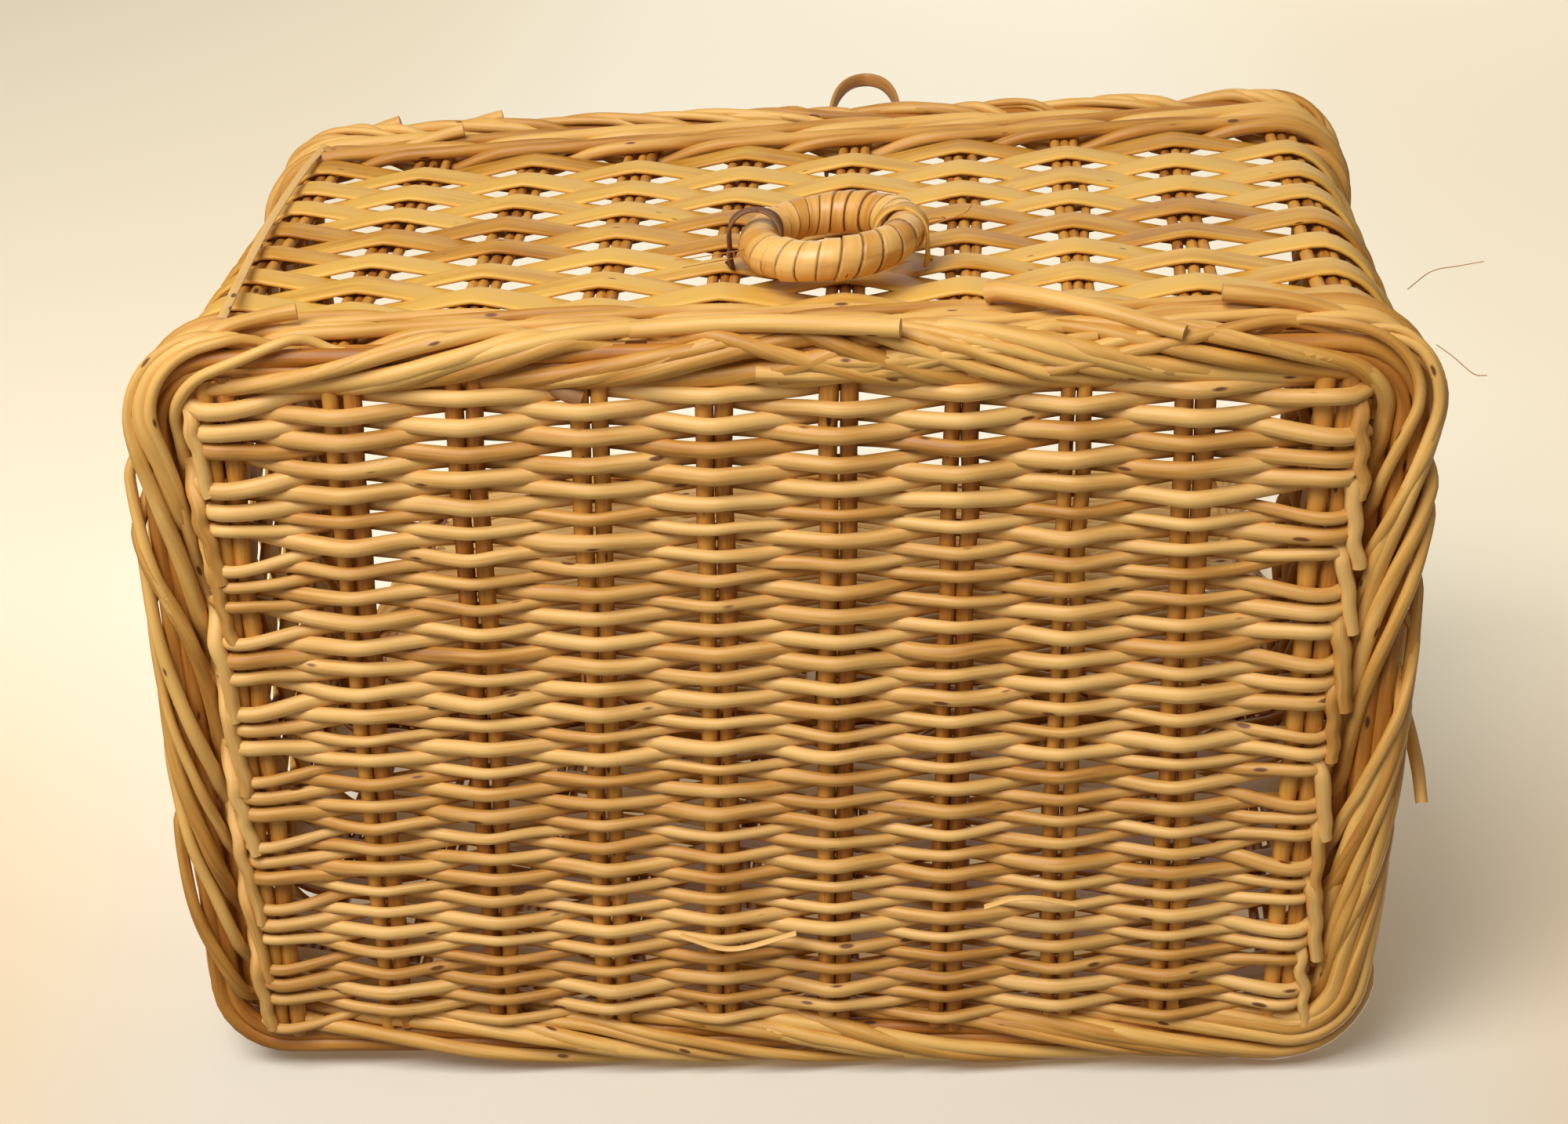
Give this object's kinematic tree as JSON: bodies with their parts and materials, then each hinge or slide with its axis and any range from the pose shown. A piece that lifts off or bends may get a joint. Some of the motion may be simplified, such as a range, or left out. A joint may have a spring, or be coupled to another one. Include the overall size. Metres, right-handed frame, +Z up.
{
  "type": "lidded rattan basket",
  "caption": "Rectangular woven willow basket with a hinged woven lid, a cane loop for a peg on its front rim and a wrapped ring on its front wall.",
  "frame": {"origin": "middle of the underside of the base, on the plane that the basket stands on", "axes": "+Z up out of the opening, -Y towards the front wall with the ring, +X to the right of the front wall in the picture"},
  "size_m": [0.38, 0.2836, 0.4917],
  "materials": {
    "willow_rod": "dry peeled willow rods, pale honey tan, satin",
    "willow_stick": "darker willow sticks, satin",
    "flat_strip": "flat golden split strips, satin",
    "cane": "split cane, glossy on its outer skin",
    "bark_strip": "thin brown bark strip, matt"
  },
  "bodies": {
    "basket": {"base_weave": "willow_rod", "base_stick_pair_01": "willow_stick", "base_stick_pair_02": "willow_stick", "base_stick_pair_03": "willow_stick", "base_stick_pair_04": "willow_stick", "base_stick_pair_05": "willow_stick", "base_stick_pair_06": "willow_stick", "base_stick_pair_07": "willow_stick", "base_stick_pair_08": "willow_stick", "base_stick_pair_09": "willow_stick", "base_stick_pair_10": "willow_stick", "foot_border": "willow_rod", "upsett_wale": "willow_rod", "wall_weave": "flat_strip", "rim_wale": "willow_rod", "stakes_and_rim_border": "willow_rod", "hinge_loop_left": "cane", "hinge_loop_middle": "cane", "hinge_loop_right": "cane", "peg_loop": "cane", "ring_staple_left": "bark_strip", "ring_staple_right": "bark_strip"},
    "lid": {"lid_weave": "willow_rod", "lid_border": "willow_rod", "lid_stick_pair_01": "willow_stick", "lid_stick_pair_02": "willow_stick", "lid_stick_pair_03": "willow_stick", "lid_stick_pair_04": "willow_stick", "lid_stick_pair_05": "willow_stick", "lid_stick_pair_06": "willow_stick", "lid_stick_pair_07": "willow_stick"},
    "ring": {"pull_ring": "cane"}
  },
  "joints": [
    {"name": "lid_hinge", "type": "hinge", "parent": "basket", "child": "lid", "pos_m": [0, 0.1175, 0.2488], "axis": [1, 0, 0], "range_deg": [0, 94]},
    {"name": "ring_swing", "type": "hinge", "parent": "basket", "child": "ring", "pos_m": [0.015, -0.1321, 0.068], "axis": [1, 0, 0], "range_deg": [-5, 5]}
  ]
}
